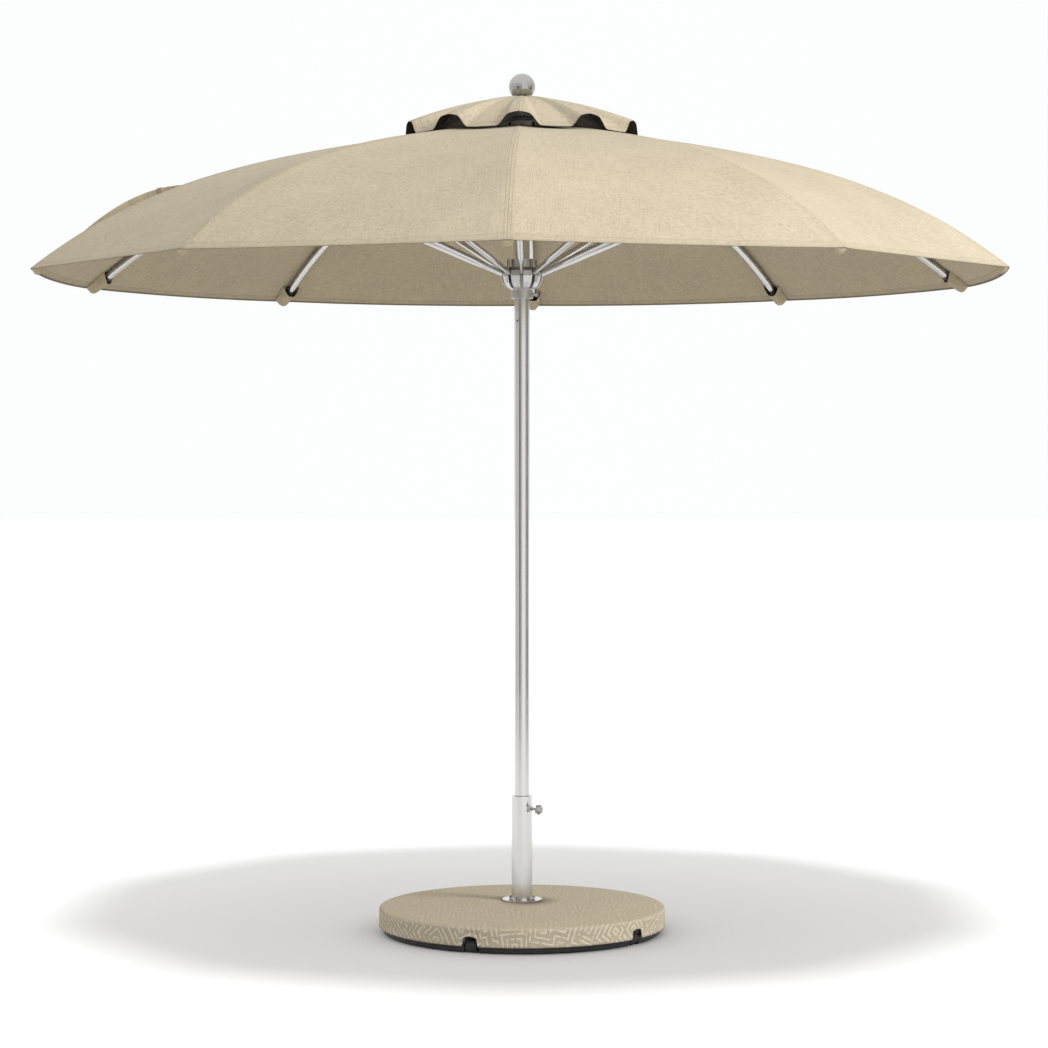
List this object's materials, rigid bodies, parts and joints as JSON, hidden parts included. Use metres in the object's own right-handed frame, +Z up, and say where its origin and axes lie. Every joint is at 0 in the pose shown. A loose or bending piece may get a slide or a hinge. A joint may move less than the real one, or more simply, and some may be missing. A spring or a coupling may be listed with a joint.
{
  "type": "patio umbrella with base",
  "caption": "Push-up market umbrella with a vented ribbed canopy, a folding strut frame on a sliding runner, a two-piece pole and a covered round base on wheels.",
  "frame": {"origin": "centre of the base's underside, on the floor under the pole", "axes": "+Z up along the pole, -Y towards the front rib, +X to the right seen from the front"},
  "size_m": [2.6846, 2.799, 2.466],
  "materials": {
    "canopy_fabric": "woven outdoor cloth with slubs, light beige",
    "base_fabric": "woven cloth, darker beige with a lighter line pattern",
    "frame_aluminium": "satin anodised tube",
    "hub_casting": "satin casting",
    "bright_steel": "bright brushed steel",
    "black_plastic": "matt black moulding",
    "cast_weight": "rough grey casting, hidden in use",
    "wheel_rubber": "matt black"
  },
  "bodies": {
    "base": {"base_tray": "black_plastic", "base_weight": "cast_weight", "base_cover": "base_fabric", "base_stem": "frame_aluminium", "flange_bolt_1": "bright_steel", "flange_bolt_2": "bright_steel", "flange_bolt_3": "bright_steel", "flange_bolt_4": "bright_steel", "wheel_axle_01": "bright_steel", "wheel_axle_02": "bright_steel", "wheel_axle_03": "bright_steel", "wheel_axle_04": "bright_steel", "wheel_axle_05": "bright_steel"},
    "lower_mast": {"lower_pole": "frame_aluminium", "pole_coupler": "frame_aluminium"},
    "upper_mast": {"upper_pole": "frame_aluminium", "crown_hub": "hub_casting", "crown_hinge_wire": "bright_steel", "finial": "bright_steel", "vent_canopy": "canopy_fabric"},
    "runner": {"runner_hub": "hub_casting"},
    "plunger": {"lock_plunger": "bright_steel"},
    "bolt": {"clamp_bolt": "bright_steel"},
    "knob": {"clamp_knob": "bright_steel"},
    "rib_01": {"rib_01": "frame_aluminium", "canopy_gore_01": "canopy_fabric"},
    "strut_01": {"strut_01": "frame_aluminium"},
    "rib_02": {"rib_02": "frame_aluminium", "canopy_gore_02": "canopy_fabric"},
    "strut_02": {"strut_02": "frame_aluminium"},
    "rib_03": {"rib_03": "frame_aluminium", "canopy_gore_03": "canopy_fabric"},
    "strut_03": {"strut_03": "frame_aluminium"},
    "rib_04": {"rib_04": "frame_aluminium", "canopy_gore_04": "canopy_fabric"},
    "strut_04": {"strut_04": "frame_aluminium"},
    "rib_05": {"rib_05": "frame_aluminium", "canopy_gore_05": "canopy_fabric"},
    "strut_05": {"strut_05": "frame_aluminium"},
    "rib_06": {"rib_06": "frame_aluminium", "canopy_gore_06": "canopy_fabric"},
    "strut_06": {"strut_06": "frame_aluminium"},
    "rib_07": {"rib_07": "frame_aluminium", "canopy_gore_07": "canopy_fabric"},
    "strut_07": {"strut_07": "frame_aluminium"},
    "rib_08": {"rib_08": "frame_aluminium", "canopy_gore_08": "canopy_fabric"},
    "strut_08": {"strut_08": "frame_aluminium"},
    "rib_09": {"rib_09": "frame_aluminium", "canopy_gore_09": "canopy_fabric", "tie_strap": "canopy_fabric"},
    "strut_09": {"strut_09": "frame_aluminium"},
    "rib_10": {"rib_10": "frame_aluminium", "canopy_gore_10": "canopy_fabric"},
    "strut_10": {"strut_10": "frame_aluminium"},
    "wheel_01": {"wheel_01": "wheel_rubber"},
    "wheel_02": {"wheel_02": "wheel_rubber"},
    "wheel_03": {"wheel_03": "wheel_rubber"},
    "wheel_04": {"wheel_04": "wheel_rubber"},
    "wheel_05": {"wheel_05": "wheel_rubber"}
  },
  "joints": [
    {"name": "pole_lift", "type": "slide", "parent": "base", "child": "lower_mast", "axis": [0, 0, 1], "range_m": [0, 0.3]},
    {"name": "pole_joint", "type": "slide", "parent": "lower_mast", "child": "upper_mast", "axis": [0, 0, 1], "range_m": [0, 0.09]},
    {"name": "runner_slide", "type": "slide", "parent": "upper_mast", "child": "runner", "axis": [0, 0, -1], "range_m": [0, 0.95293], "deforming": ["vent_canopy"]},
    {"name": "plunger_pull", "type": "slide", "parent": "runner", "child": "plunger", "axis": [1, 0, 0], "range_m": [0, 0.006], "stiffness_N_per_m": 600, "springref_m": -0.004},
    {"name": "bolt_travel", "type": "slide", "parent": "base", "child": "bolt", "axis": [0.7431, -0.6691, 0], "range_m": [0, 0.004]},
    {"name": "knob_turn", "type": "hinge", "parent": "bolt", "child": "knob", "pos_m": [0.04199, -0.03781, 0.356], "axis": [0.7431, -0.6691, 0], "range_deg": [0, 1080]},
    {"name": "rib_hinge_01", "type": "hinge", "parent": "upper_mast", "child": "rib_01", "pos_m": [-0.00118, -0.04498, 2.30548], "axis": [0.9997, -0.0262, 0], "range_deg": [0, 70.63], "deforming": ["canopy_gore_01"]},
    {"name": "strut_hinge_01", "type": "hinge", "parent": "rib_01", "child": "strut_01", "pos_m": [-0.01832, -0.69976, 2.16606], "axis": [0.9997, -0.0262, 0], "range_deg": [-130.66, 0]},
    {"name": "rib_hinge_02", "type": "hinge", "parent": "upper_mast", "child": "rib_02", "pos_m": [0.02549, -0.03709, 2.30548], "axis": [0.8241, 0.5664, 0], "range_deg": [0, 70.63], "deforming": ["canopy_gore_02"]},
    {"name": "strut_hinge_02", "type": "hinge", "parent": "rib_02", "child": "strut_02", "pos_m": [0.39648, -0.57689, 2.16606], "axis": [0.8241, 0.5664, 0], "range_deg": [-130.66, 0]},
    {"name": "rib_hinge_03", "type": "hinge", "parent": "upper_mast", "child": "rib_03", "pos_m": [0.04242, -0.01502, 2.30548], "axis": [0.3338, 0.9426, 0], "range_deg": [0, 70.63], "deforming": ["canopy_gore_03"]},
    {"name": "strut_hinge_03", "type": "hinge", "parent": "rib_03", "child": "strut_03", "pos_m": [0.65985, -0.23367, 2.16606], "axis": [0.3338, 0.9426, 0], "range_deg": [-130.66, 0]},
    {"name": "rib_hinge_04", "type": "hinge", "parent": "upper_mast", "child": "rib_04", "pos_m": [0.04315, 0.01278, 2.30548], "axis": [-0.284, 0.9588, 0], "range_deg": [0, 70.63], "deforming": ["canopy_gore_04"]},
    {"name": "strut_hinge_04", "type": "hinge", "parent": "rib_04", "child": "strut_04", "pos_m": [0.67117, 0.19881, 2.16606], "axis": [-0.284, 0.9588, 0], "range_deg": [-130.66, 0]},
    {"name": "rib_hinge_05", "type": "hinge", "parent": "upper_mast", "child": "rib_05", "pos_m": [0.02739, 0.0357, 2.30548], "axis": [-0.7934, 0.6088, 0], "range_deg": [0, 70.63], "deforming": ["canopy_gore_05"]},
    {"name": "strut_hinge_05", "type": "hinge", "parent": "rib_05", "child": "strut_05", "pos_m": [0.42613, 0.55535, 2.16606], "axis": [-0.7934, 0.6088, 0], "range_deg": [-130.66, 0]},
    {"name": "rib_hinge_06", "type": "hinge", "parent": "upper_mast", "child": "rib_06", "pos_m": [0.00118, 0.04498, 2.30548], "axis": [-0.9997, 0.0262, 0], "range_deg": [0, 70.63], "deforming": ["canopy_gore_06"]},
    {"name": "strut_hinge_06", "type": "hinge", "parent": "rib_06", "child": "strut_06", "pos_m": [0.01832, 0.69976, 2.16606], "axis": [-0.9997, 0.0262, 0], "range_deg": [-130.66, 0]},
    {"name": "rib_hinge_07", "type": "hinge", "parent": "upper_mast", "child": "rib_07", "pos_m": [-0.02549, 0.03709, 2.30548], "axis": [-0.8241, -0.5664, 0], "range_deg": [0, 70.63], "deforming": ["canopy_gore_07"]},
    {"name": "strut_hinge_07", "type": "hinge", "parent": "rib_07", "child": "strut_07", "pos_m": [-0.39648, 0.57689, 2.16606], "axis": [-0.8241, -0.5664, 0], "range_deg": [-130.66, 0]},
    {"name": "rib_hinge_08", "type": "hinge", "parent": "upper_mast", "child": "rib_08", "pos_m": [-0.04242, 0.01502, 2.30548], "axis": [-0.3338, -0.9426, 0], "range_deg": [0, 70.63], "deforming": ["canopy_gore_08"]},
    {"name": "strut_hinge_08", "type": "hinge", "parent": "rib_08", "child": "strut_08", "pos_m": [-0.65985, 0.23367, 2.16606], "axis": [-0.3338, -0.9426, 0], "range_deg": [-130.66, 0]},
    {"name": "rib_hinge_09", "type": "hinge", "parent": "upper_mast", "child": "rib_09", "pos_m": [-0.04315, -0.01278, 2.30548], "axis": [0.284, -0.9588, 0], "range_deg": [0, 70.63], "deforming": ["canopy_gore_09", "tie_strap"]},
    {"name": "strut_hinge_09", "type": "hinge", "parent": "rib_09", "child": "strut_09", "pos_m": [-0.67117, -0.19881, 2.16606], "axis": [0.284, -0.9588, 0], "range_deg": [-130.66, 0]},
    {"name": "rib_hinge_10", "type": "hinge", "parent": "upper_mast", "child": "rib_10", "pos_m": [-0.02739, -0.0357, 2.30548], "axis": [0.7934, -0.6088, 0], "range_deg": [0, 70.63], "deforming": ["canopy_gore_10"]},
    {"name": "strut_hinge_10", "type": "hinge", "parent": "rib_10", "child": "strut_10", "pos_m": [-0.42613, -0.55535, 2.16606], "axis": [0.7934, -0.6088, 0], "range_deg": [-130.66, 0]},
    {"name": "wheel_spin_01", "type": "hinge", "parent": "base", "child": "wheel_01", "pos_m": [-0.13518, -0.36156, 0.02], "axis": [0.9367, -0.3502, 0], "continuous": true},
    {"name": "wheel_spin_02", "type": "hinge", "parent": "base", "child": "wheel_02", "pos_m": [0.30209, -0.24029, 0.02], "axis": [0.6225, 0.7826, 0], "continuous": true},
    {"name": "wheel_spin_03", "type": "hinge", "parent": "base", "child": "wheel_03", "pos_m": [0.32188, 0.21305, 0.02], "axis": [-0.5519, 0.8339, 0], "continuous": true},
    {"name": "wheel_spin_04", "type": "hinge", "parent": "base", "child": "wheel_04", "pos_m": [-0.10315, 0.37196, 0.02], "axis": [-0.9636, -0.2672, 0], "continuous": true},
    {"name": "wheel_spin_05", "type": "hinge", "parent": "base", "child": "wheel_05", "pos_m": [-0.38563, 0.01684, 0.02], "axis": [-0.0436, -0.999, 0], "continuous": true}
  ],
  "couplings": [
    {"joint": "bolt_travel", "follows": "knob_turn", "m_per_rad": 0.00019894},
    {"joint": "rib_hinge_01", "follows": "runner_slide", "rad_per_m": 1.2926},
    {"joint": "strut_hinge_01", "follows": "runner_slide", "rad_per_m": -2.3921},
    {"joint": "rib_hinge_02", "follows": "runner_slide", "rad_per_m": 1.2926},
    {"joint": "strut_hinge_02", "follows": "runner_slide", "rad_per_m": -2.3921},
    {"joint": "rib_hinge_03", "follows": "runner_slide", "rad_per_m": 1.2926},
    {"joint": "strut_hinge_03", "follows": "runner_slide", "rad_per_m": -2.3921},
    {"joint": "rib_hinge_04", "follows": "runner_slide", "rad_per_m": 1.2926},
    {"joint": "strut_hinge_04", "follows": "runner_slide", "rad_per_m": -2.3921},
    {"joint": "rib_hinge_05", "follows": "runner_slide", "rad_per_m": 1.2926},
    {"joint": "strut_hinge_05", "follows": "runner_slide", "rad_per_m": -2.3921},
    {"joint": "rib_hinge_06", "follows": "runner_slide", "rad_per_m": 1.2926},
    {"joint": "strut_hinge_06", "follows": "runner_slide", "rad_per_m": -2.3921},
    {"joint": "rib_hinge_07", "follows": "runner_slide", "rad_per_m": 1.2926},
    {"joint": "strut_hinge_07", "follows": "runner_slide", "rad_per_m": -2.3921},
    {"joint": "rib_hinge_08", "follows": "runner_slide", "rad_per_m": 1.2926},
    {"joint": "strut_hinge_08", "follows": "runner_slide", "rad_per_m": -2.3921},
    {"joint": "rib_hinge_09", "follows": "runner_slide", "rad_per_m": 1.2926},
    {"joint": "strut_hinge_09", "follows": "runner_slide", "rad_per_m": -2.3921},
    {"joint": "rib_hinge_10", "follows": "runner_slide", "rad_per_m": 1.2926},
    {"joint": "strut_hinge_10", "follows": "runner_slide", "rad_per_m": -2.3921}
  ]
}
